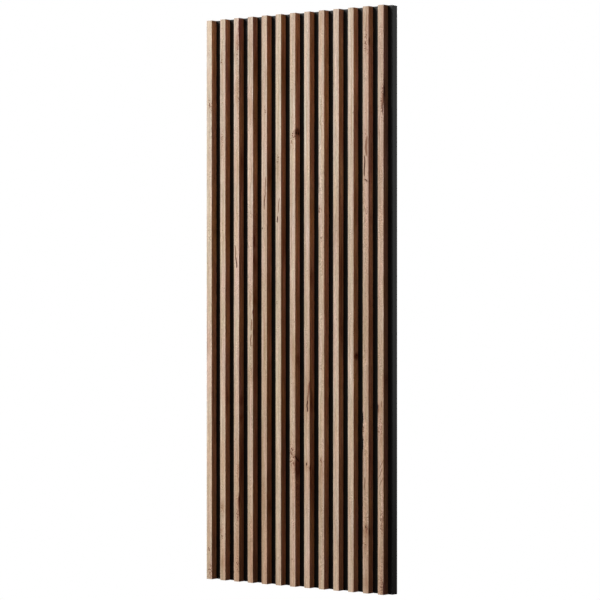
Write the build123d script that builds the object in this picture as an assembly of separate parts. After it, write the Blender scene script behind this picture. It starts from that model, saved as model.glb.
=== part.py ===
# Slatted wall panel: a black backing board with a row of upright oak slats fixed to its front.
# X runs along the width, Y from the front to the wall and Z up.
# The origin is the middle of the board's back, the face that lies against the wall.
import os
from build123d import *

# Backing board, banded all round with a slightly eased edge
panel_width = 500
panel_height = 1200
board_thickness = 16
board_edge_radius = 1

# Slats, cut flush with the board at both ends
slat_count = 13
slat_width = 15
slat_depth = 15
slat_edge_radius = 0.8

# Half a gap is left beside the outer slats, so the rhythm carries on across panels set edge to edge
slat_pitch = panel_width / slat_count
first_slat_x = (slat_pitch - panel_width) / 2
slat_places = [first_slat_x + number * slat_pitch for number in range(slat_count)]


def backing_board():
    """The board, with its back on the wall plane."""
    board = Box(panel_width, board_thickness, panel_height, align=(Align.CENTER, Align.MAX, Align.CENTER))
    return fillet(board.edges(), board_edge_radius)


def slat_section():
    """Section of a slat seen from above: eased at the front, square where it meets the board."""
    section = Rectangle(slat_width, slat_depth, align=(Align.CENTER, Align.MAX))
    return fillet(section.vertices().group_by(Axis.Y)[0], slat_edge_radius)


def slat(x):
    """A slat standing on the board's front with its middle at x."""
    return Pos(x, -board_thickness, 0) * extrude(slat_section(), panel_height / 2, both=True)


os.makedirs("parts", exist_ok=True)
export_step(backing_board(), "parts/backing_board.step")
for number, x in enumerate(slat_places, start=1):
    export_step(slat(x), f"parts/slat_{number:02d}.step")
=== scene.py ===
import bpy
import math
import numpy as np
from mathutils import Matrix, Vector


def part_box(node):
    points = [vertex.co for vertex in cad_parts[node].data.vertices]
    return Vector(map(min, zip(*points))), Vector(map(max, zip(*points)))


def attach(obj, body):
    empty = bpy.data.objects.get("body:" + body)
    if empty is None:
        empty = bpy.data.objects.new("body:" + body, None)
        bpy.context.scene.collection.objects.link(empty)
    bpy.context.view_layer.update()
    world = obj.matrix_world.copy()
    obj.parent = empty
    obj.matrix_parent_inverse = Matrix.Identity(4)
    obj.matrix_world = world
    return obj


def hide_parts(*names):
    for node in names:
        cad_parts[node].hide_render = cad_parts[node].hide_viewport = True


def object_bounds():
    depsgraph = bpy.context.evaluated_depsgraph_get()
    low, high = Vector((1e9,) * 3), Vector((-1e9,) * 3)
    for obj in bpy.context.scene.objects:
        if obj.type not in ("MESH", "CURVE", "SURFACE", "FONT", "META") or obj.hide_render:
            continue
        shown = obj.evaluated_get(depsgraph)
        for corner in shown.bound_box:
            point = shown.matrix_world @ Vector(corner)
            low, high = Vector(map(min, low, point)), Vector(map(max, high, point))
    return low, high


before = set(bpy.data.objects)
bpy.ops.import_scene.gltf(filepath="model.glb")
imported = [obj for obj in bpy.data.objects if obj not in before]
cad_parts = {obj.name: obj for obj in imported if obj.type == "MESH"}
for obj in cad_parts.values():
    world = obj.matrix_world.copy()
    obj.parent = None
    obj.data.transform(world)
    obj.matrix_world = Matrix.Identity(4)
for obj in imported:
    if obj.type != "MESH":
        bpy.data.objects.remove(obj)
cadBox = [list(corner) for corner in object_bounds()]
mm = 0.001
slatNames = sorted(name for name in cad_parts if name.startswith("slat_"))
print("frame loaded:", len(slatNames), "slats on one board")


# small helpers for node trees

whole = (0.0, 1.0)        # spans of a value, for remap
wideSpan = (0.2, 0.8)     # holds nearly all that a noise gives
midSpan = (0.3, 0.7)      # a noise often reaches its ends


def addNode(tree, kind, sockets=None, **settings):
    made = tree.nodes.new("ShaderNode" + kind)
    for name, value in settings.items():
        setattr(made, name, value)
    for socket, value in (sockets or {}).items():
        if isinstance(value, bpy.types.NodeSocket):
            tree.links.new(value, made.inputs[socket])
        else:
            made.inputs[socket].default_value = value
    return made


def newMaterial(name):
    material = bpy.data.materials.new(name)
    material.use_nodes = True
    return material, material.node_tree, material.node_tree.nodes["Principled BSDF"]


def stretchedNoise(tree, place, scale, detail, roughness=0.5, distortion=0.0):
    # noise drawn out along one axis by unequal scales
    mapped = addNode(tree, "Mapping", {"Vector": place, "Scale": scale})
    noise = addNode(tree, "TexNoise", {"Vector": mapped.outputs[0], "Scale": 1.0, "Detail": detail,
                                       "Roughness": roughness, "Distortion": distortion})
    return noise.outputs["Fac"]


def remap(tree, value, span, toLow=0.0, toHigh=1.0):
    return addNode(tree, "MapRange", {"Value": value, "From Min": span[0], "From Max": span[1],
                                      "To Min": toLow, "To Max": toHigh}).outputs["Result"]


def mathOf(tree, operation, first, second):
    return addNode(tree, "Math", {0: first, 1: second}, operation=operation).outputs[0]


def blend(tree, amount, first, second, how="MIX"):
    mixer = addNode(tree, "Mix", {0: amount, 6: first, 7: second}, data_type="RGBA", blend_type=how)
    return mixer.outputs[2]


def meshValue(tree, name, output="Fac"):
    return addNode(tree, "Attribute", attribute_name=name).outputs[output]


def splitVector(tree, vector):
    return addNode(tree, "SeparateXYZ", {0: vector}).outputs


def dressShader(tree, shader, colour, rough, relief, finish):
    tree.links.new(colour, shader.inputs["Base Color"])
    tree.links.new(rough, shader.inputs["Roughness"])
    shader.inputs["Specular IOR Level"].default_value = finish["shine"]
    bump = addNode(tree, "Bump", {"Height": relief, "Strength": finish["bumpStrength"],
                                  "Distance": finish["bumpDepth"] * mm})
    tree.links.new(bump.outputs["Normal"], shader.inputs["Normal"])


# oak slats: bars with eased front edges, knots, checks and broken arrises

oakSlat = {
    "arris": 0.8,            # radius of the front edges, mm
    "arrisSteps": 3,
    "frontColumns": 24,
    "sideColumns": 12,
    "fineStep": 1.25,        # between rows beside a mark, mm
    "plainSteps": 8,         # fine steps between rows of plain wood
    "markReach": 1.6,        # close rows go this many half lengths from a mark's middle
    "gluedBack": 0.02,       # sunk into the board's face so no light passes, mm
    "checkDepth": 0.5,       # mm, as are the next two
    "waneDepth": 2.6,
    "knotDepth": 0.25,
    "wander": 0.25,          # how far checks and streaks wander, in half widths
    "wanderTurn": 4,         # and how fast, in radians for each half length
    "waneReach": 0.85,       # mean reach of a broken arris and the swing of its ragged edge
    "waneSwing": 0.2,
    "waneTurns": (0.75, 0.31),           # radians for each mm up
    "waneTaper": 0.6,
    "knotPush": 2.4,         # grain bends round a knot over this many half lengths
    "grainShift": 0.37,      # between the grain of one slat and the next
    # for each slat from the left: depth of tone, wildness of grain, rosiness,
    # then lightness and greyness of the painted shade on its sides
    "natures": (
        (0.23, 0.5, 0.0, 1.08, 0.3), (0.39, 0.9, 0.0, 1.30, 0.0), (0.42, 1.5, 0.3, 0.85, -0.4),
        (0.43, 1.2, 0.2, 0.94, 0.0), (0.56, 1.2, 0.0, 1.17, 0.0), (0.34, 0.8, -0.5, 0.86, -0.5),
        (0.40, 0.8, 0.3, 1.28, 0.0), (0.43, 1.2, 0.1, 1.01, 0.0), (0.44, 1.4, -0.2, 1.33, 0.0),
        (0.34, 0.5, 0.1, 0.88, 0.1), (0.33, 0.9, -0.1, 1.32, 0.2), (0.61, 1.8, 0.4, 1.32, 0.75),
        (0.60, 1.8, 0.3, 0.97, 0.0)),
    "greySide": (-0.12, 0.03, 0.17),     # added to each colour for each unit of greyness
}

# marks of each slat, counted from the left
# kind, place round the slat from the middle of its front, height, half width, half length, lean; mm
# a place past 7.5 is on the right side, one past -7.5 on the left
# lean is the sideways drift for each mm up
oakMarks = {
    1: [("curl", 0, 268, 7, 9, 0), ("curl", 0, 142, 6, 26, 0), ("fleck", 1.4, 419, 5.4, 14, -0.3),
        ("blush", 1.4, 419, 5, 14, -0.3), ("fleck", 0, -534, 3, 7, 0), ("blush", 2.5, -583, 5.2, 16, 0),
        ("fleck", 2, -582, 5.6, 15, 0.1), ("sapwood", 0, 518, 11, 28, 0), ("heartwood", 0, -92, 4, 24, 0),
        ("heartwood", 15, 500, 4, 60, 0)],
    2: [("curl", 0, 552, 7, 12, 0), ("curl", 0, 424, 7, 12, 0), ("curl", -2, -398, 7, 12, 0),
        ("curl", -2, -450, 7, 12, 0), ("fleck", -3, 512, 2.5, 9, 0), ("heartwood", -2, 476, 2.6, 70, 0),
        ("fleck", -2, 345, 3, 12, 0), ("blush", -2, 340, 2.5, 24, 0), ("blush", -5, -490, 4, 13, 0),
        ("fleck", -1, -507, 4, 7, 0), ("blush", -4, -443, 4, 11, 0), ("heartwood", 0, -444, 6, 14, 0),
        ("heartwood", 0, -562, 6, 16, 0), ("sapwood", 15, -87, 10, 48, 0), ("heartwood", 15, -212, 9, 32, 0)],
    3: [("curl", 2, 475, 6, 34, 0), ("curl", 2, 322, 6, 14, 0), ("curl", 2, -422, 6, 12, 0),
        ("curl", 3, -500, 6, 14, 0), ("streak", 6, -446, 2, 16, -0.06), ("wane", 8.4, 577, 5.4, 30, 0),
        ("rose", 13, 578, 9, 44, 0), ("blush", 1.5, 543, 2.8, 24, 0), ("fleck", 3, 534, 3.5, 24, 0.1),
        ("fleck", 6.2, 440, 2.6, 60, 0), ("streak", 8.8, 500, 2.4, 40, 0), ("check", -0.1, 79, 2, 12, -0.08),
        ("streak", -2.4, 100, 2.2, 18, -0.07), ("fleck", -5, -297, 2, 5, 0), ("blush", 4, -362, 3.4, 16, 0),
        ("wane", 8, -385, 2.2, 20, 0), ("wane", 8, -424, 2.6, 21, 0), ("blush", 5, -454, 4.4, 22, 0),
        ("fleck", 3, -456, 3.6, 26, 0.05), ("stainAndShade", 6.5, -428, 3, 14, 0), ("fleck", 3, -558, 4.4, 28, 0),
        ("heartwood", 3, 548, 7, 20, 0), ("heartwood", 2, 444, 7, 34, 0), ("sapwood", 0, -60, 7, 110, 0),
        ("heartwood", 2, -530, 9, 110, 0), ("heartwood", 15, 285, 9, 28, 0), ("sapwood", 15, -60, 9, 110, 0),
        ("heartwood", 14, -215, 7, 11, 0), ("heartwood", 14, -252, 7, 12, 0),
        ("heartwood", 15, -346, 10, 70, 0)],
    4: [("curl", 0, -153, 7, 20, 0), ("wane", 8, -28, 2.6, 14, 0), ("fleck", 3, -54, 1.8, 14, 0),
        ("streak", 3, -54, 2.2, 12, 0.03), ("streak", 1.2, -86, 2.2, 14, 0.05),
        ("stainAndShade", 11, 124, 3.4, 17, 0), ("stainAndShade", 10, 86, 2.4, 11, 0), ("stainAndShade", 9.8, -69, 2, 8, 0),
        ("blush", 13, 150, 6, 60, 0), ("blush", 15, -60, 6, 40, 0),
        ("heartwood", 0, 540, 9, 42, 0), ("heartwood", 0, 404, 8, 26, 0),
        ("sapwood", 0, 215, 9, 48, 0), ("heartwood", 0, 6, 4, 22, 0), ("heartwood", 0, -156, 9, 18, 0),
        ("heartwood", 0, -535, 10, 95, 0), ("heartwood", 15, 498, 8, 36, 0), ("sapwood", 15, 270, 9, 44, 0),
        ("heartwood", 14, 74, 8, 16, 0), ("heartwood", 13, -2, 7, 16, 0)],
    5: [("streak", 2.9, 238, 2.2, 24, 0), ("streak", 1.4, 216, 2.2, 12, 0.15),
        ("streak", 0.2, 203, 1.7, 14, 0), ("check", 0.2, 205, 1.1, 8, 0), ("knot", -5, 151, 1.1, 2.4, 0),
        ("fleck", 2.3, 399, 2, 10, 0), ("heartwood", 1, -78, 2.6, 60, 0), ("sapwood", 0, 262, 11, 110, 0),
        ("heartwood", 0, -420, 12, 85, 0), ("heartwood", 15, 262, 9, 38, 0), ("sapwood", 15, -120, 9, 40, 0),
        ("sapwood", 15, -336, 9, 28, 0), ("heartwood", 15, -437, 8, 20, 0)],
    6: [("curl", 0, -63, 7, 10, 0), ("check", -2.7, 169, 2.1, 7, 0.04), ("streak", 0.8, 198, 1.9, 18, 0.12),
        ("heartwood", -1, 275, 10, 42, 0), ("fleck", -2, 295, 4, 14, 0), ("fleck", -4, -3, 2, 5, 0),
        ("sapwood", 0, -292, 9, 36, 0), ("heartwood", 15, 474, 9, 66, 0), ("heartwood", 15, 125, 9, 75, 0)],
    7: [("curl", 0, -465, 7, 10, 0), ("knot", 10.2, 349, 2.2, 3.6, 0), ("knot", 17.6, 348, 2.4, 3.6, 0),
        ("stainAndShade", 13.5, 351, 9, 7, 0), ("fleck", 1.5, 341, 7, 16, 0.3), ("blush", 1.5, 339, 6.6, 16, 0.3),
        ("fleck", -1, -326, 8, 24, -0.1), ("blush", 0, -331, 9, 23, 0), ("check", 13, -333, 2.2, 7, -0.9),
        ("stainAndShade", 14.5, -349, 10, 26, 0), ("blush", 14, -400, 9, 60, 0), ("sapwood", 0, 402, 9, 38, 0),
        ("sapwood", 0, 126, 12, 52, 0), ("sapwood", 0, 56, 9, 24, 0), ("heartwood", 0, -112, 7, 44, 0),
        ("heartwood", 15, 490, 4, 60, 0), ("heartwood", 15, -125, 7, 12, 0)],
    8: [("curl", 0, -92, 7, 14, 0), ("stainAndShade", 6.4, -180, 2.2, 9, 0.05), ("blush", 15.5, 44, 6, 24, 0),
        ("fleck", -1, -104, 3, 11, 0.1), ("wane", 8, -176, 1.8, 9, 0), ("blush", 5, -186, 3, 18, 0.1),
        ("fleck", 3.8, -194, 2.4, 17, 0.15), ("streak", 4, -194, 2.8, 18, 0.13),
        ("check", 1.1, -221, 2.4, 13, 0.01), ("knot", -1.2, -342, 1.7, 3.4, 0),
        ("fleck", 3.5, -348, 4, 6, -0.8), ("stainAndShade", 9.5, -351, 3, 6, 0),
        ("sapwood", 0, 445, 12, 95, 0), ("sapwood", 0, 130, 11, 52, 0),
        ("heartwood", 1, -188, 10, 70, 0), ("heartwood", 0, -348, 8, 14, 0), ("sapwood", 0, -500, 8, 95, 0),
        ("heartwood", 15, 463, 5, 40, 0), ("sapwood", 15, 245, 10, 34, 0), ("heartwood", 13, 46, 7, 15, 0),
        ("heartwood", 14, -216, 9, 26, 0), ("heartwood", 15, -372, 10, 78, 0)],
    9: [("curl", 0, 75, 7, 22, 0), ("curl", 0, -137, 7, 9, 0), ("curl", 2, -436, 7, 14, 0),
        ("curl", 2, -487, 7, 14, 0), ("fleck", -5, 186, 2.5, 11, 0), ("blush", -4, 186, 3, 12, 0),
        ("fleck", 1, 130, 3, 8, 0.05), ("blush", -0.7, -336, 3, 9, 0), ("fleck", -1, -336, 3, 8, 0),
        ("heartwood", 0, 580, 7, 28, 0), ("sapwood", 0, 480, 8, 16, 0), ("heartwood", 0, -358, 6, 26, 0),
        ("sapwood", 15, 556, 7, 44, 0), ("sapwood", 15, -282, 10, 40, 0)],
    10: [("streak", 15.5, 40, 2.4, 90, 0), ("streak", 14, -45, 2.6, 30, 0), ("blush", 15, -30, 6, 40, 0),
         ("sapwood", 0, 372, 10, 82, 0), ("heartwood", 0, 165, 11, 58, 0), ("sapwood", 0, -450, 9, 64, 0),
         ("sapwood", 15, 265, 8, 80, 0), ("heartwood", 16, 58, 9, 95, 0), ("heartwood", 16, -60, 8, 40, 0),
         ("sapwood", 15, -240, 7, 110, 0)],
    11: [("curl", 0, 136, 7, 10, 0), ("curl", 0, -37, 7, 10, 0), ("curl", 0, -407, 7, 10, 0),
         ("knot", 18.4, -114, 1.8, 2.6, 0), ("stainAndShade", 17, -116, 6.5, 7, 0), ("fleck", 8.2, -62, 1.6, 26, 0),
         ("fleck", 8.2, -160, 1.6, 14, 0), ("heartwood", 1.5, 360, 1.6, 120, 0),
         ("sapwood", 0, -150, 9, 42, 0), ("sapwood", 0, -468, 9, 22, 0), ("heartwood", 15, 530, 5, 50, 0),
         ("heartwood", 15, 195, 4, 56, 0)],
    12: [("curl", 0, 456, 7, 14, 0), ("curl", 0, -307, 7, 12, 0), ("curl", 0, -405, 7, 14, 0),
         ("streak", 2.6, -469, 1.6, 9, 0.1), ("fleck", 0.5, 526, 4, 24, 0.1), ("blush", 0.5, 530, 5, 26, 0),
         ("stainAndShade", 9.4, 528, 2.2, 9, 0), ("blush", 0.6, 322, 2.4, 28, 0), ("streak", 1.6, 314, 4.2, 22, 0.03),
         ("check", -2.9, 274, 2.1, 22, 0.02), ("check", 2.8, 244, 1.5, 3.6, -1.5),
         ("fleck", 2, 243, 4, 4, -1.3), ("fleck", 1.4, 182, 4, 5, -0.9), ("fleck", -4, 222, 3, 4, 0),
         ("wane", -7.8, -244, 2.4, 18, 0), ("wane", -7.7, -296, 2.2, 20, 0), ("fleck", -6, -262, 2.5, 34, 0),
         ("streak", -2.5, -376, 1.9, 14, 0.05), ("fleck", 2.2, -465, 4.5, 8, 0),
         ("blush", 2, -474, 5, 12, 0), ("blush", -2, -500, 4, 9, 0),
         ("knot", -0.2, -464, 1.4, 3.4, 0), ("stainAndShade", 9.5, -474, 2, 7, 0), ("fleck", -1.4, -497, 4, 8, 0),
         ("heartwood", 0, 572, 6, 20, 0), ("heartwood", 0, -475, 8, 12, 0), ("sapwood", 0, -540, 11, 24, 0),
         ("heartwood", 0, -579, 6, 14, 0), ("sapwood", 15, 205, 6, 30, 0), ("sapwood", 15, 80, 6, 66, 0),
         ("sapwood", 15, -160, 7, 70, 0)],
    13: [("curl", 0, 548, 7, 16, 0), ("curl", 0, 250, 7, 16, 0), ("curl", 0, 134, 7, 14, 0),
         ("curl", 0, -10, 7, 12, 0), ("curl", 0, -403, 7, 14, 0), ("curl", 0, -552, 7, 14, 0),
         ("wane", 8, 424, 2, 30, 0), ("streak", 9.8, 428, 2.4, 24, 0), ("check", 10.6, 424, 1.8, 11, 0),
         ("fleck", 8.6, 472, 2, 9, 0), ("blush", 4.5, 404, 2.4, 30, 0), ("fleck", 5, 414, 5, 46, 0),
         ("check", 4.3, 389, 1.2, 14, -0.03), ("blush", 2.5, 404, 4, 14, 0),
         ("streak", 4.6, 403, 3.2, 16, 0.08), ("blush", -6.5, -222, 3, 14, 0),
         ("streak", -6, -222, 2, 9, 0.1), ("wane", -7.7, -218, 1.4, 10, 0),
         ("streak", 2.2, -212, 1.6, 7, 0), ("fleck", -5.5, -270, 2.5, 12, 0),
         ("streak", 2.5, -334, 1.3, 10, 0.5), ("streak", 0, -352, 1.3, 11, 0.5),
         ("streak", 1.5, -370, 1.3, 10, 0.5), ("fleck", 2, -450, 5, 32, 0),
         ("blush", 3, -456, 3, 22, 0), ("fleck", 1.5, -542, 3, 8, 0), ("blush", 1.3, -258, 5, 30, 0),
         ("wane", 8.2, -590, 3.6, 24, 0), ("blush", 3, -582, 4, 26, 0), ("fleck", 2, -584, 6, 22, 0),
         ("blush", 15, -120, 5, 60, 0), ("heartwood", 11, 420, 5, 36, 0), ("sapwood", 0, -46, 8, 34, 0),
         ("heartwood", -2, -222, 8, 12, 0), ("sapwood", 15, 280, 8, 40, 0), ("heartwood", 15, -163, 8, 16, 0),
         ("heartwood", 15, -545, 9, 70, 0)],
}
broadMarks = ("heartwood", "sapwood", "curl")      # changes too slow to need close rows
markKinds = broadMarks + ("rose", "blush", "stainAndShade", "fleck", "streak", "knot", "check", "wane")


def slatOutline(low, high):
    # points of the section from the back left corner round the front to the back right one, and their normals
    radius = oakSlat["arris"] * mm
    back = high.y + oakSlat["gluedBack"] * mm
    side = np.linspace(0, 1, oakSlat["sideColumns"] + 1)[:-1]
    front = np.linspace(0, 1, oakSlat["frontColumns"] + 1)[:-1]
    turn = np.linspace(0, math.pi / 2, oakSlat["arrisSteps"] + 1)[:-1]
    points, normals = [], []
    for share in side:
        points.append((low.x, back + (low.y + radius - back) * share))
        normals.append((-1, 0))
    for angle in turn:
        points.append((low.x + radius - radius * math.cos(angle), low.y + radius - radius * math.sin(angle)))
        normals.append((-math.cos(angle), -math.sin(angle)))
    for share in front:
        points.append((low.x + radius + (high.x - low.x - 2 * radius) * share, low.y))
        normals.append((0, -1))
    for angle in turn:
        points.append((high.x - radius + radius * math.sin(angle), low.y + radius - radius * math.cos(angle)))
        normals.append((math.sin(angle), -math.cos(angle)))
    for share in np.append(side, 1):
        points.append((high.x, low.y + radius + (back - low.y - radius) * share))
        normals.append((1, 0))
    points, normals = np.array(points), np.array(normals)
    steps = np.hypot(*np.diff(points, axis=0).T)
    girth = np.concatenate([[0], np.cumsum(steps)])
    return points, normals, girth - girth[-1] / 2


def slatRows(low, high, marks):
    # rows of plain wood, with closer ones beside each mark, all on one lattice
    step = oakSlat["fineStep"] * mm
    levels = set(range(round(low.z / step), round(high.z / step) + 1, oakSlat["plainSteps"]))
    for kind, place, middle, halfWidth, halfLength, lean in marks:
        if kind in broadMarks:
            continue
        reach = oakSlat["markReach"] * halfLength
        levels.update(range(round((middle - reach) * mm / step), round((middle + reach) * mm / step) + 1))
    rows = np.array(sorted(levels)) * step
    rows = rows[(rows > low.z + step / 2) & (rows < high.z - step / 2)]
    return np.concatenate([[low.z], rows, [high.z]])


def markFields(marks, girth, height):
    # how near each point is to the heart of a mark of each kind, and how far knots push the grain aside
    fields = {kind: np.zeros_like(girth) for kind in markKinds}
    sway = np.zeros_like(girth)
    for kind, place, middle, halfWidth, halfLength, lean in marks:
        along = (height - middle) / halfLength
        across = girth - place - lean * (height - middle)
        if kind in ("check", "streak"):
            across = across + oakSlat["wander"] * halfWidth * np.sin(oakSlat["wanderTurn"] * along + place)
            near = np.sqrt(np.clip(1 - along ** 2, 0, 1)) * np.clip(1 - np.abs(across) / halfWidth, 0, 1)
        elif kind == "wane":
            quick, slow = oakSlat["waneTurns"]
            ragged = oakSlat["waneSwing"] * np.sin(quick * height) * np.sin(slow * height + place)
            taper = np.clip(1 - np.abs(along), 0, 1) ** oakSlat["waneTaper"]
            near = np.clip((oakSlat["waneReach"] + ragged) * taper - np.abs(across) / halfWidth, 0, 1)
        else:
            near = np.exp(-(across / halfWidth) ** 2 - along ** 2)
        fields[kind] = np.maximum(fields[kind], near)
        if kind == "knot":
            push = across / np.sqrt(across ** 2 + halfWidth ** 2)
            sway += halfWidth * push * np.exp(-(along / oakSlat["knotPush"]) ** 2)
    return fields, sway


def paintVectors(mesh, name, vectors):
    layer = mesh.attributes.new(name, "FLOAT_VECTOR", "POINT")
    layer.data.foreach_set("vector", vectors.astype(np.float32).ravel())


def oakBar(name):
    number = int(name[-2:])
    low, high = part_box(name)
    marks = oakMarks[number]
    outline, normals, girth = slatOutline(low, high)
    rows = slatRows(low, high, marks)
    columns = len(outline)
    girthGrid, heightGrid = np.meshgrid(girth, rows)
    fields, sway = markFields(marks, girthGrid / mm, heightGrid / mm)
    # checks are narrow grooves, a knot is slightly dished and a broken arris is bitten off towards the core
    dip = (oakSlat["checkDepth"] * fields["check"] ** 2 + oakSlat["knotDepth"] * fields["knot"]) * mm
    bite = oakSlat["waneDepth"] * fields["wane"] * mm * math.sqrt(0.5)      # aside and back alike
    place = outline[None, :, :] - normals[None, :, :] * dip[:, :, None]
    place[:, :, 0] -= np.sign(girthGrid) * bite
    place[:, :, 1] += bite
    place[:, :, 1] = np.minimum(place[:, :, 1], outline[0, 1])
    skin = np.dstack([place, heightGrid]).reshape(-1, 3)
    shift = number * oakSlat["grainShift"]
    grain = np.dstack([girthGrid - sway * mm, np.full_like(girthGrid, shift), heightGrid]).reshape(-1, 3)
    faces = []
    for row in range(len(rows) - 1):
        start = row * columns
        for column in range(columns):
            after = (column + 1) % columns
            faces.append((start + column, start + after, start + columns + after, start + columns + column))
    sideCount = len(faces)
    # sawn ends have points of their own, so their edges stay sharp
    ends = np.vstack([skin[:columns], skin[-columns:]])
    base = len(skin)
    faces.append(tuple(range(base + columns - 1, base - 1, -1)))
    faces.append(tuple(range(base + columns, base + 2 * columns)))
    endPlace = ends - np.array([(low.x + high.x) / 2, (low.y + high.y) / 2, 0])
    endPlace[:, 2] = shift
    points = np.vstack([skin, ends])
    mesh = bpy.data.meshes.new("oak_" + name)
    mesh.from_pydata(points.tolist(), [], faces)
    mesh.polygons.foreach_set("use_smooth", [True] * sideCount + [False] * 2)
    mesh.polygons.foreach_set("material_index", [0] * sideCount + [1] * 2)
    # what the finish reads from the mesh
    *nature, lightness, greyness = oakSlat["natures"][number - 1]
    # how light and grey the painted shade on this slat's sides is
    sideShadeTone = lightness * (1 + greyness * np.array(oakSlat["greySide"]))
    paintVectors(mesh, "grain", np.vstack([grain, endPlace]))
    paintVectors(mesh, "nature", np.tile(nature, (len(points), 1)))
    paintVectors(mesh, "sideShadeTone", np.tile(sideShadeTone, (len(points), 1)))
    fields["flank"] = np.tile(np.abs(normals[:, 0]), (len(rows), 1))       # 1 on the sides, 0 on the front
    for kind, values in fields.items():
        layer = mesh.attributes.new(kind, "FLOAT", "POINT")
        layer.data.foreach_set("value", np.append(values.ravel(), np.zeros(2 * columns)).astype(np.float32))
    bar = bpy.data.objects.new("oak_" + name, mesh)
    bpy.context.collection.objects.link(bar)
    return bar


# finish of the oak

oakFinish = {
    # the wood from its palest to its deepest, and where the two between stand
    "bleached": (0.69, 0.576, 0.442, 1),
    "pale": (0.592, 0.472, 0.352, 1),
    "paleAt": 0.3,
    "honey": (0.508, 0.37, 0.256, 1),
    "honeyAt": 0.6,
    "shade": (0.37, 0.235, 0.148, 1),
    "bands": 0.28,               # how far growth bands move between these
    # tints that the wood is multiplied by
    "rosy": (1.08, 0.94, 0.97, 1),
    "straw": (0.93, 1.04, 1.0, 1),
    "amber": (1.03, 1.0, 0.89, 1),
    "grey": (0.97, 1.0, 1.11, 1),
    "dim": (0.76, 0.735, 0.71, 1),
    "bright": (1.24, 1.265, 1.29, 1),
    "dark": (0.60, 0.57, 0.54, 1),
    "light": (1.40, 1.43, 1.46, 1),
    "greyer": 0.26,              # for each metre up a slat, as is the next
    "rosier": -0.12,
    "rosyShift": (0.15, 0.04),   # what a slat's rosiness adds on the front and on the sides
    # a noise, the tints at its low and high end, how much of them on the front and on the sides
    "tints": (("warmth", "straw", "rosy", 0.6, 0.6), ("greying", "amber", "grey", 0.6, 0.6),
              ("zones", "dim", "bright", 0.6, 1.0), ("figure", "dim", "bright", 0.6, 1.0),
              ("mottle", "dim", "bright", 0.5, 0.5), ("speck", "dark", "light", 0.3, 0.3),
              ("fibres", "dim", "bright", 0.6, 1.0)),
    "tintSpan": (0.28, 0.72),
    # painted shade: the sides are made a deeper brown, darker towards the foot
    "flankShadeTop": (1.02, 0.757, 0.60, 1),
    "flankShadeFoot": (0.66, 0.50, 0.405, 1),
    "olive": (1.04, 1.07, 0.86, 1),
    "maroon": (0.96, 0.91, 1.11, 1),
    # broad stretches
    "heartwood": (0.79, 0.71, 0.645, 1),
    "heartwoodSide": (0.55, 0.46, 0.38, 1),
    "sapwood": (1.13, 1.18, 1.26, 1),
    "sapwoodSide": (1.45, 1.55, 1.68, 1),
    # pores, soft marks, curly grain and flecks
    "pore": (0.30, 0.18, 0.105, 1),
    "poreSpan": (0.6, 0.72),
    "poreMost": 0.4,
    "rose": (1.02, 0.80, 0.98, 1),
    "blush": (0.34, 0.17, 0.105, 1),
    "blushSpan": (0.38, 0.62),
    "blushAmount": (0.1, 0.95),
    "curlSpan": (0.5, 0.64),
    "curlMost": 0.32,            # in plain wood
    "curlSide": 0.15,            # share of it on the sides
    "curlMark": 0.75,            # at the heart of a mark
    "fleck": (0.15, 0.06, 0.034, 1),
    "fleckCrowd": 0.29,
    "fleckSpan": (0.80, 0.88),
    # marks with ragged edges: kind, paint, how near its heart the paint starts and is full, most of it
    "paints": (("wane", "bark", 0.0, 0.3, 0.9), ("stainAndShade", "stainAndShade", 0.1, 0.65, 0.92),
               ("streak", "streak", 0.1, 0.5, 0.9), ("knot", "knotRim", 0.15, 0.5, 0.85),
               ("knot", "knotHeart", 0.5, 0.75, 1.0), ("check", "checkShade", 0.1, 0.4, 1.0)),
    "ragged": 0.2,
    "stainAndShade": (0.2, 0.075, 0.04, 1),
    "streak": (0.22, 0.105, 0.06, 1),
    "knotRim": (0.18, 0.08, 0.04, 1),
    "knotHeart": (0.03, 0.012, 0.007, 1),
    # painted shade in the groove of a check
    "checkShade": (0.07, 0.022, 0.01, 1),
    "bark": (0.34, 0.14, 0.11, 1),
    "roughness": (0.54, 0.70),
    "shine": 0.15,
    "bumpStrength": 0.35,
    "bumpDepth": 0.2,            # mm
    "waveReach": 2.2,            # how far wild grain waves aside, mm
    # noises in the wood: scales across, through and along the grain, detail, roughness, distortion
    "noises": {
        "wave": ((40, 1, 22), 2.0),
        "bands": ((260, 1, 4), 3.0, 0.6, 0.3),
        "zones": ((60, 1, 5), 2.0, 0.6),
        "figure": ((400, 1, 12), 2.0, 0.6, 0.3),
        "mottle": ((620, 1, 45), 2.0, 0.7, 0.3),
        "speck": ((1100, 1, 230), 1.0, 0.7),
        "fibres": ((1250, 1, 10), 3.0, 0.6),
        "pores": ((2300, 1, 70), 1.0),
        "warmth": ((130, 1, 12), 2.0),
        "greying": ((100, 1, 9), 2.0),
        "browning": ((60, 1, 7), 2.0),
        "ragged": ((700, 1, 160), 2.0),
        "dashes": ((410, 1, 340), 0.0),
        "curls": ((460, 1, 400), 0.0),
        "patches": ((70, 1, 26), 1.0),
    },
}


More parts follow.
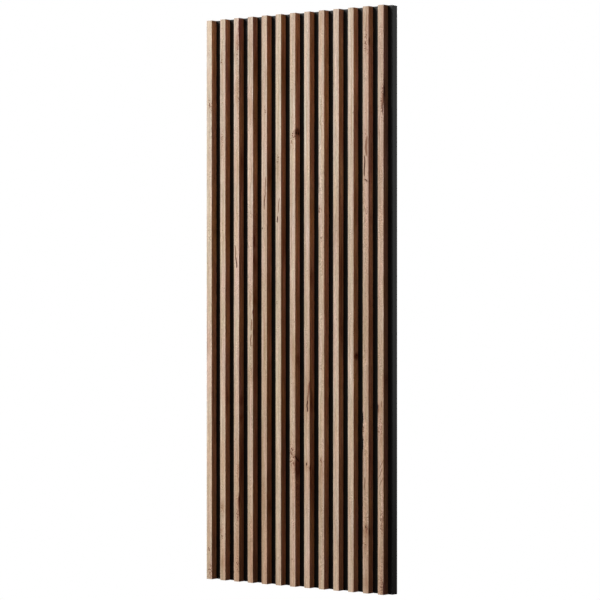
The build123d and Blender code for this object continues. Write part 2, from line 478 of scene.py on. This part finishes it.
def oakFace():
    material, tree, shader = newMaterial("oak_face")
    grain = meshValue(tree, "grain", "Vector")
    tone, wild, rosiness = splitVector(tree, meshValue(tree, "nature", "Vector"))
    flank = meshValue(tree, "flank")
    rise = splitVector(tree, grain)["Z"]
    # the grain waves from side to side, more in some slats
    noises = oakFinish["noises"]
    reach = oakFinish["waveReach"] * mm
    wave = remap(tree, stretchedNoise(tree, grain, *noises["wave"]), wideSpan, -reach, reach)
    drift = addNode(tree, "CombineXYZ", {0: mathOf(tree, "MULTIPLY", wave, wild)}).outputs[0]
    grain = addNode(tree, "VectorMath", {0: grain, 1: drift}, operation="ADD").outputs[0]
    wood = {name: stretchedNoise(tree, grain, *noises[name]) for name in noises if name != "wave"}
    # growth bands between pale and deeper wood, moved by the slat's own tone
    swing = oakFinish["bands"]
    depth = mathOf(tree, "ADD", remap(tree, wood["bands"], midSpan, -swing, swing), tone)
    ramp = addNode(tree, "ValToRGB", {"Fac": depth})
    stops = ramp.color_ramp.elements
    stops[0].color = oakFinish["bleached"]
    stops[1].color = oakFinish["shade"]
    for between in ("pale", "honey"):
        stops.new(oakFinish[between + "At"]).color = oakFinish[between]
    colour = ramp.outputs["Color"]
    # slow drifts of hue, then the figure down to the fibres
    for name, slope in (("greying", "greyer"), ("warmth", "rosier")):
        wood[name] = mathOf(tree, "ADD", wood[name], mathOf(tree, "MULTIPLY", rise, oakFinish[slope]))
    blushing = mathOf(tree, "MULTIPLY", rosiness, remap(tree, flank, whole, *oakFinish["rosyShift"]))
    wood["warmth"] = mathOf(tree, "ADD", wood["warmth"], blushing)
    for name, first, last, front, side in oakFinish["tints"]:
        tint = blend(tree, remap(tree, wood[name], oakFinish["tintSpan"]), oakFinish[first], oakFinish[last])
        amount = front if front == side else remap(tree, flank, whole, front, side)
        colour = blend(tree, amount, colour, tint, "MULTIPLY")
    # the sides go from olive to maroon; painted shade makes them a deeper brown that darkens towards the
    # foot, scaled for each slat
    upSlat = (cadBox[0][2], cadBox[1][2])
    brown = blend(tree, remap(tree, wood["browning"], midSpan), oakFinish["olive"], oakFinish["maroon"])
    # painted shade on the sides, deeper at the foot than at the top and scaled for each slat
    stainAndShade = blend(tree, remap(tree, rise, upSlat), oakFinish["flankShadeFoot"], oakFinish["flankShadeTop"])
    stainAndShade = blend(tree, 1.0, stainAndShade, meshValue(tree, "sideShadeTone", "Vector"), "MULTIPLY")
    for tint in (brown, stainAndShade):
        colour = blend(tree, flank, colour, tint, "MULTIPLY")
    for kind in ("heartwood", "sapwood"):
        tint = blend(tree, flank, oakFinish[kind], oakFinish[kind + "Side"])
        colour = blend(tree, meshValue(tree, kind), colour, tint, "MULTIPLY")
    # pores and soft marks
    poreMask = remap(tree, wood["pores"], oakFinish["poreSpan"], 0.0, oakFinish["poreMost"])
    colour = blend(tree, poreMask, colour, oakFinish["pore"])
    colour = blend(tree, meshValue(tree, "rose"), colour, oakFinish["rose"], "MULTIPLY")
    dashed = remap(tree, wood["dashes"], oakFinish["blushSpan"], *oakFinish["blushAmount"])
    soft = mathOf(tree, "MULTIPLY", meshValue(tree, "blush"), dashed)
    colour = blend(tree, soft, colour, oakFinish["blush"])
    # curly grain lies in patches of the wilder fronts and wherever it or flecks are marked
    flecked = meshValue(tree, "fleck")
    curly = remap(tree, wood["patches"], oakFinish["curlSpan"], 0.0, oakFinish["curlMost"])
    curly = mathOf(tree, "MULTIPLY", curly, wild)
    curly = mathOf(tree, "MULTIPLY", curly, remap(tree, flank, whole, 1.0, oakFinish["curlSide"]))
    marked = mathOf(tree, "MAXIMUM", flecked, meshValue(tree, "curl"))
    curly = mathOf(tree, "MAXIMUM", curly, mathOf(tree, "MULTIPLY", marked, oakFinish["curlMark"]))
    tint = blend(tree, remap(tree, wood["curls"], midSpan), oakFinish["dark"], oakFinish["light"])
    colour = blend(tree, curly, colour, tint, "MULTIPLY")
    # flecks stand close at the heart of their mark and thin out around it
    crowd = mathOf(tree, "MULTIPLY", flecked, oakFinish["fleckCrowd"])
    flecks = remap(tree, mathOf(tree, "ADD", wood["dashes"], crowd), oakFinish["fleckSpan"])
    colour = blend(tree, flecks, colour, oakFinish["fleck"])
    # broken arrises, stains, streaks, knots and cracks have ragged edges; the dark paint in the cracks is
    # painted shade in their grooves
    jagged = remap(tree, wood["ragged"], whole, -oakFinish["ragged"], oakFinish["ragged"])
    for kind, paint, starts, full, most in oakFinish["paints"]:
        near = mathOf(tree, "ADD", meshValue(tree, kind), jagged)
        colour = blend(tree, remap(tree, near, (starts, full), 0.0, most), colour, oakFinish[paint])
    rough = remap(tree, wood["fibres"], wideSpan, *oakFinish["roughness"])
    relief = mathOf(tree, "SUBTRACT", wood["fibres"], poreMask)
    dressShader(tree, shader, colour, rough, relief, oakFinish)
    return material


endFinish = {
    "wood": (0.42, 0.29, 0.18, 1),
    "ring": (0.25, 0.155, 0.09, 1),
    "heart": (0.021, 0.034, 0),      # how far the heart of the tree lies from the bar, m
    "ringScale": 95.0,
    "ringSpan": (0.2, 0.9),
    "wobble": 1.6,
    "wobbleDetail": 2.0,
    "wobbleScale": 1.5,
    "speckScale": (2600, 2600, 1),
    "speckDetail": 1.0,
    "speckSpan": (0.55, 0.7),
    "speckMost": 0.5,
    "roughness": (0.7, 0.85),
    "shine": 0.2,
    "bumpStrength": 0.3,
    "bumpDepth": 0.2,                # mm
}


def oakEnd():
    material, tree, shader = newMaterial("oak_end_grain")
    place = meshValue(tree, "grain", "Vector")
    # growth rings about a heart that lies well outside the bar
    moved = addNode(tree, "Mapping", {"Vector": place, "Location": endFinish["heart"]})
    rings = addNode(tree, "TexWave", {"Vector": moved.outputs[0], "Scale": endFinish["ringScale"],
                                      "Distortion": endFinish["wobble"], "Detail": endFinish["wobbleDetail"],
                                      "Detail Scale": endFinish["wobbleScale"]},
                    wave_type="RINGS", rings_direction="Z")
    specks = stretchedNoise(tree, place, endFinish["speckScale"], endFinish["speckDetail"])
    ringed = remap(tree, rings.outputs["Fac"], endFinish["ringSpan"])
    colour = blend(tree, ringed, endFinish["wood"], endFinish["ring"])
    specked = remap(tree, specks, endFinish["speckSpan"], 0.0, endFinish["speckMost"])
    colour = blend(tree, specked, colour, oakFinish["pore"])
    rough = remap(tree, specks, midSpan, *endFinish["roughness"])
    dressShader(tree, shader, colour, rough, specks, endFinish)
    return material


faceOak, endOak = oakFace(), oakEnd()
for name in slatNames:
    bar = oakBar(name)
    bar.data.materials.append(faceOak)
    bar.data.materials.append(endOak)
    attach(bar, "root")
    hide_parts(name)
print("slats built:", len(slatNames))


# black board: keeps its CAD solid, with a faced finish

boardFinish = {
    "black": (0.0055, 0.0065, 0.0062, 1),
    "worn": (0.0080, 0.0092, 0.0088, 1),
    "mottleScale": (9, 9, 9),
    "mottleDetail": 3.0,
    "mottleSpan": (0.35, 0.65),
    "gritScale": (900, 900, 900),
    "gritDetail": 2.0,
    "faceRoughness": 0.40,
    "edgeRoughness": 0.18,      # the edge band is smoother
    "edgeSpan": (0.2, 0.9),     # from edge band to face, by how far the surface faces front or back
    "roughnessSwing": 0.03,
    "shine": 0.19,
    "bumpStrength": 0.2,
    "bumpDepth": 0.1,           # mm
}


def blackFacing():
    material, tree, shader = newMaterial("black_facing")
    place = addNode(tree, "TexCoord").outputs["Object"]
    mottle = stretchedNoise(tree, place, boardFinish["mottleScale"], boardFinish["mottleDetail"])
    grit = stretchedNoise(tree, place, boardFinish["gritScale"], boardFinish["gritDetail"])
    worn = remap(tree, mottle, boardFinish["mottleSpan"])
    colour = blend(tree, worn, boardFinish["black"], boardFinish["worn"])
    facing = splitVector(tree, addNode(tree, "NewGeometry").outputs["True Normal"])["Y"]
    flat = mathOf(tree, "ABSOLUTE", facing, 0.0)
    rough = remap(tree, flat, boardFinish["edgeSpan"],
                  boardFinish["edgeRoughness"], boardFinish["faceRoughness"])
    swing = boardFinish["roughnessSwing"]
    rough = mathOf(tree, "ADD", rough, remap(tree, mottle, midSpan, -swing, swing))
    dressShader(tree, shader, colour, rough, grit, boardFinish)
    return material


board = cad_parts["backing_board"]
board.material_slots[0].material = blackFacing()
print("board finished")


# studio: pale floor a metre below the hung panel, one large lamp at the upper left, a softer one behind

studio = {
    "floorDrop": 1.0,
    "floorRadius": 7.0,
    "floorSteps": 96,
    "floorColour": (0.8, 0.8, 0.8, 1),
    "floorRoughness": 0.9,
    "floorFade": (0.3, 0.9),      # shares of the radius between which the floor turns white
    # turn from the panel's front and rise above level in degrees, distance and size in m, power in W
    "lamps": {
        "key_lamp": (-38, 32, 5.7, 1.6, 438),
        "back_lamp": (-160, 25, 5.0, 2.0, 200),
    },
    "ambient": (0.107, 0.078, 0.072, 1),     # a little warm, as in a room with wood in it
    "backdrop": 1.0,
    "backdropColour": (1, 1, 1, 1),
    "underside": 0.0,             # how bright the studio looks in reflections below the horizon
    "horizon": (-0.12, -0.02),
}

low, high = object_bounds()
middle = (low + high) / 2


def layFloor():
    radius = studio["floorRadius"]
    steps = studio["floorSteps"]
    height = low.z - studio["floorDrop"]
    turns = [2 * math.pi * step / steps for step in range(steps)]
    rim = [(radius * math.cos(turn), radius * math.sin(turn), height) for turn in turns]
    mesh = bpy.data.meshes.new("floor")
    mesh.from_pydata(rim, [], [tuple(range(steps))])
    floor = bpy.data.objects.new("floor", mesh)
    bpy.context.collection.objects.link(floor)
    material, tree, shader = newMaterial("pale_floor")
    shader.inputs["Base Color"].default_value = studio["floorColour"]
    shader.inputs["Roughness"].default_value = studio["floorRoughness"]
    # the rim melts into the white behind it
    place = addNode(tree, "TexCoord").outputs["Object"]
    flat = addNode(tree, "VectorMath", {0: place, 1: (1, 1, 0)}, operation="MULTIPLY").outputs[0]
    away = addNode(tree, "VectorMath", {0: flat}, operation="LENGTH").outputs["Value"]
    fade = remap(tree, away, [radius * share for share in studio["floorFade"]])
    white = addNode(tree, "Emission", {"Strength": studio["backdrop"]})
    mixed = addNode(tree, "MixShader", {0: fade, 1: shader.outputs[0], 2: white.outputs[0]})
    # from underneath the floor is clear
    below = addNode(tree, "NewGeometry").outputs["Backfacing"]
    clear = addNode(tree, "BsdfTransparent")
    shown = addNode(tree, "MixShader", {0: below, 1: mixed.outputs[0], 2: clear.outputs[0]})
    tree.links.new(shown.outputs[0], tree.nodes["Material Output"].inputs["Surface"])
    mesh.materials.append(material)
    floor.visible_diffuse = False    # takes the shadow but throws no light back up
    floor.visible_glossy = False


def hangLamp(name, turn, rise, distance, size, power):
    turn, rise = math.radians(turn), math.radians(rise)
    away = Vector((math.sin(turn) * math.cos(rise), -math.cos(turn) * math.cos(rise), math.sin(rise)))
    data = bpy.data.lights.new(name, "AREA")
    data.shape = "SQUARE"
    data.size = size
    data.energy = power
    lamp = bpy.data.objects.new(name, data)
    lamp.location = middle + away * distance
    lamp.rotation_euler = away.to_track_quat("Z", "Y").to_euler()
    bpy.context.collection.objects.link(lamp)


def paintWorld():
    world = bpy.data.worlds.new("white_studio")
    bpy.context.scene.world = world
    world.use_nodes = True
    tree = world.node_tree
    path = addNode(tree, "LightPath").outputs
    seen = mathOf(tree, "MAXIMUM", path["Is Camera Ray"], path["Is Transmission Ray"])
    # reflections see the white studio, darker towards the ground
    heading = splitVector(tree, addNode(tree, "TexCoord").outputs["Generated"])["Z"]
    fade = remap(tree, heading, studio["horizon"], studio["underside"], 1.0)
    seen = mathOf(tree, "MAXIMUM", seen, mathOf(tree, "MULTIPLY", path["Is Glossy Ray"], fade))
    background = tree.nodes["Background"]
    colour = blend(tree, seen, studio["ambient"], studio["backdropColour"])
    tree.links.new(colour, background.inputs["Color"])
    background.inputs["Strength"].default_value = studio["backdrop"]


layFloor()
for name, settings in studio["lamps"].items():
    hangLamp(name, *settings)
paintWorld()
bpy.context.scene.view_settings.view_transform = "Standard"
print("studio lit")


# camera, level with the panel's middle and to its right

shot = {
    "turn": 38.90,        # degrees from the panel's front
    "distance": 5.264,    # along the view, to the middle of the slats' front
    "aside": -0.01557,    # how far that middle lies to the right of the picture's centre
    "lift": -0.00036,     # camera above the panel's middle
    "focalPixels": 2517,
    "pictureWidth": 600,
}


def placeCamera():
    turn = math.radians(shot["turn"])
    forward = Vector((-math.sin(turn), math.cos(turn), 0))
    right = Vector((math.cos(turn), math.sin(turn), 0))
    target = Vector((middle.x, cadBox[0][1], middle.z))
    data = bpy.data.cameras.new("camera")
    data.lens = shot["focalPixels"] / shot["pictureWidth"] * data.sensor_width
    camera = bpy.data.objects.new("camera", data)
    camera.location = target - right * shot["aside"] - forward * shot["distance"]
    camera.location.z += shot["lift"]
    camera.rotation_euler = (math.pi / 2, 0, turn)
    bpy.context.collection.objects.link(camera)
    bpy.context.scene.camera = camera


placeCamera()
print("camera set")
